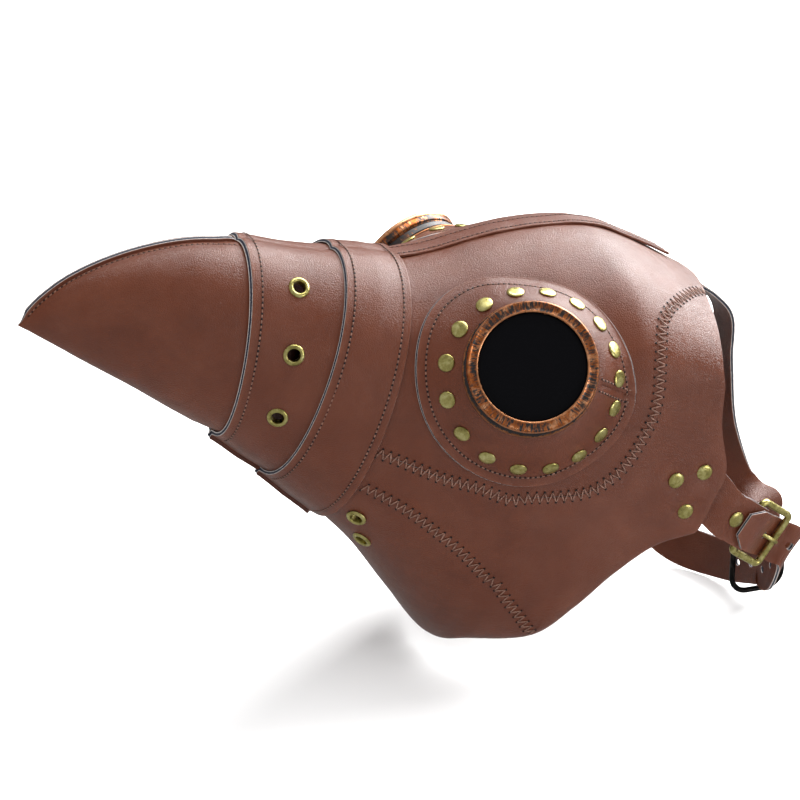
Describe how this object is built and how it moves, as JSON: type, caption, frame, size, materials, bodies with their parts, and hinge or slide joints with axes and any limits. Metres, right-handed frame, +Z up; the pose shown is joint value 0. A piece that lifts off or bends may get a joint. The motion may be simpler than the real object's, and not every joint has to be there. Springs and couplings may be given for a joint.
{
  "type": "plague doctor mask",
  "caption": "Leather beaked mask with stitched panels, riveted eye patches, screw-in round goggles and adjustable head straps with a buckle.",
  "frame": {"origin": "on the mid-plane inside the mask, just in front of the wearer's nose", "axes": "-X along the beak, -Y to the wearer's left side, +Z up"},
  "size_m": [0.3917, 0.1996, 0.2281],
  "materials": {
    "leather": "smooth semi-matte, dark brown",
    "brass": "antique, satin",
    "aged_copper": "copper rubbed through black",
    "black_copper": "black with copper edges",
    "lens": "opaque gloss black",
    "black_steel": "black satin"
  },
  "bodies": {
    "mask": {"band_eyelet_L1": "brass", "band_eyelet_L2": "brass", "band_eyelet_L3": "brass", "band_eyelet_R1": "brass", "band_eyelet_R2": "brass", "band_eyelet_R3": "brass", "beak_band": "leather", "beak_collar": "leather", "beak_tip": "leather", "brow_L": "leather", "brow_R": "leather", "centre_strip": "leather", "cheek_L": "leather", "cheek_R": "leather", "chin_eyelet_L1": "brass", "chin_eyelet_L2": "brass", "chin_eyelet_R1": "brass", "chin_eyelet_R2": "brass", "chin_panel": "leather", "clamp_nut_L": "black_copper", "clamp_nut_R": "black_copper", "eye_patch_L": "leather", "eye_patch_R": "leather", "fold_rivet_side": "brass", "fold_rivet_top": "brass", "goggle_cup_L": "black_copper", "goggle_cup_R": "black_copper", "side_strap_L": "leather", "side_strap_R": "leather", "strap_rivet_L1": "brass", "strap_rivet_L2": "brass", "strap_rivet_L3": "brass", "strap_rivet_R1": "brass", "strap_rivet_R2": "brass", "strap_rivet_R3": "brass", "top_strap": "leather"},
    "lens_left": {"lens_L": "lens"},
    "lens_right": {"lens_R": "lens"},
    "cap_left": {"lens_cap_L": "aged_copper"},
    "cap_right": {"lens_cap_R": "aged_copper"},
    "buckle": {"buckle_frame": "brass"},
    "prong": {"buckle_prong": "brass"},
    "loop": {"rear_loop": "black_steel"}
  },
  "joints": [
    {"name": "lens_left_out", "type": "slide", "parent": "mask", "child": "lens_left", "axis": [-0.2926, -0.8498, 0.4384], "range_m": [0, 0.00301]},
    {"name": "cap_left_unscrew", "type": "hinge", "parent": "lens_left", "child": "cap_left", "pos_m": [0.0371, -0.0725, 0.0375], "axis": [-0.2926, -0.8498, 0.4384], "range_deg": [0, 720]},
    {"name": "lens_right_out", "type": "slide", "parent": "mask", "child": "lens_right", "axis": [-0.2926, 0.8498, 0.4384], "range_m": [0, 0.00301]},
    {"name": "cap_right_unscrew", "type": "hinge", "parent": "lens_right", "child": "cap_right", "pos_m": [0.0371, 0.0725, 0.0375], "axis": [-0.2926, 0.8498, 0.4384], "range_deg": [0, 720]},
    {"name": "buckle_rock", "type": "hinge", "parent": "mask", "child": "buckle", "pos_m": [0.1565, -0.0695, -0.0617], "axis": [-0.5862, -0.0062, -0.8102], "range_deg": [-1, 3]},
    {"name": "prong_lift", "type": "hinge", "parent": "buckle", "child": "prong", "pos_m": [0.1565, -0.0695, -0.0617], "axis": [-0.5862, -0.0062, -0.8102], "range_deg": [0, 3]},
    {"name": "loop_swing", "type": "hinge", "parent": "mask", "child": "loop", "pos_m": [0.1915, -0.02, -0.0945], "axis": [1, 0, 0], "range_deg": [-20, 2]}
  ],
  "couplings": [
    {"joint": "lens_left_out", "follows": "cap_left_unscrew", "m_per_rad": 0.00023873},
    {"joint": "lens_right_out", "follows": "cap_right_unscrew", "m_per_rad": 0.00023873}
  ]
}
